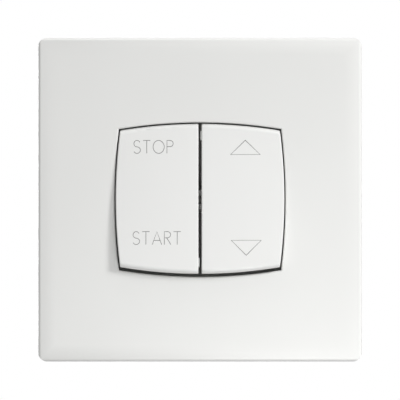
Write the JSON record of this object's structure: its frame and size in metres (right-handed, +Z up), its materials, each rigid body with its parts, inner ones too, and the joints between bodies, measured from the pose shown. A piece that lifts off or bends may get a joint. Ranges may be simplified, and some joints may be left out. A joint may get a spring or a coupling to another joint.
{
  "type": "roller shutter switch",
  "caption": "Flush wall switch for a roller shutter: two side-by-side maintained rockers in a square white cover plate, with yoke, contact block and wire clamps behind.",
  "frame": {"origin": "midway between the two fixing screws, on the wall plane (the back face of the yoke)", "axes": "+X to the right, +Z up, the front faces -Y, the contact block points along +Y into the box"},
  "size_m": [0.08, 0.0358, 0.08],
  "materials": {
    "plate_plastic": "white moulded plastic, satin gloss with a very fine grain",
    "rocker_plastic": "white moulded plastic, satin gloss, with grey printed marks",
    "carrier_plastic": "light grey moulded plastic",
    "plunger_plastic": "natural acetal",
    "frame_plastic": "grey moulded plastic",
    "housing_plastic": "black moulded thermoset",
    "zinc_steel": "bright zinc plated sheet",
    "spring_steel": "drawn spring wire",
    "screw_steel": "zinc plated screws",
    "clamp_steel": "zinc plated steel cages",
    "contact_brass": "stamped brass strip",
    "contact_silver": "silver contact rivets"
  },
  "bodies": {
    "switch_base": {"cover_plate": "plate_plastic", "support_frame": "frame_plastic", "mounting_yoke": "zinc_steel", "mechanism_housing": "housing_plastic", "line_bar": "contact_brass", "link_bar": "contact_brass", "up_bar": "contact_brass", "down_bar": "contact_brass", "start_contact": "contact_silver", "up_contact": "contact_silver", "down_contact": "contact_silver", "line_clamp": "clamp_steel", "up_clamp": "clamp_steel", "down_clamp": "clamp_steel", "line_clamp_screw": "screw_steel", "up_clamp_screw": "screw_steel", "down_clamp_screw": "screw_steel", "lower_left_tie_screw": "screw_steel", "upper_left_tie_screw": "screw_steel", "lower_right_tie_screw": "screw_steel", "upper_right_tie_screw": "screw_steel"},
    "stop_start_rocker": {"stop_start_rocker": "rocker_plastic", "left_carrier": "carrier_plastic", "left_plunger_spring": "spring_steel"},
    "left_plunger": {"left_plunger": "plunger_plastic"},
    "left_lever": {"left_lever": "contact_brass", "left_lever_upper_tip": "contact_silver", "left_lever_lower_tip": "contact_silver"},
    "up_down_rocker": {"up_down_rocker": "rocker_plastic", "right_carrier": "carrier_plastic", "right_plunger_spring": "spring_steel"},
    "right_plunger": {"right_plunger": "plunger_plastic"},
    "right_lever": {"right_lever": "contact_brass", "right_lever_upper_tip": "contact_silver", "right_lever_lower_tip": "contact_silver"}
  },
  "joints": [
    {"name": "stop_start_rocker_tilt", "type": "hinge", "parent": "switch_base", "child": "stop_start_rocker", "pos_m": [-0.00925, -0.0054, 0], "axis": [1, 0, 0], "range_deg": [0, 7.5]},
    {"name": "left_plunger_slide", "type": "slide", "parent": "stop_start_rocker", "child": "left_plunger", "axis": [0, -0.9979, 0.0654], "range_m": [0, 0.0008], "stiffness_N_per_m": 3200, "springref_m": -0.0006, "deforming": ["left_plunger_spring"]},
    {"name": "left_lever_rock", "type": "hinge", "parent": "switch_base", "child": "left_lever", "pos_m": [-0.00925, 0.0094, 0], "axis": [1, 0, 0], "range_deg": [-12, 0]},
    {"name": "up_down_rocker_tilt", "type": "hinge", "parent": "switch_base", "child": "up_down_rocker", "pos_m": [0.00925, -0.0054, 0], "axis": [1, 0, 0], "range_deg": [0, 7.5]},
    {"name": "right_plunger_slide", "type": "slide", "parent": "up_down_rocker", "child": "right_plunger", "axis": [0, -0.9979, 0.0654], "range_m": [0, 0.0008], "stiffness_N_per_m": 3200, "springref_m": -0.0006, "deforming": ["right_plunger_spring"]},
    {"name": "right_lever_rock", "type": "hinge", "parent": "switch_base", "child": "right_lever", "pos_m": [0.00925, 0.0094, 0], "axis": [1, 0, 0], "range_deg": [-12, 0]}
  ],
  "couplings": [
    {"joint": "left_lever_rock", "follows": "stop_start_rocker_tilt", "ratio": -1.6},
    {"joint": "right_lever_rock", "follows": "up_down_rocker_tilt", "ratio": -1.6}
  ]
}
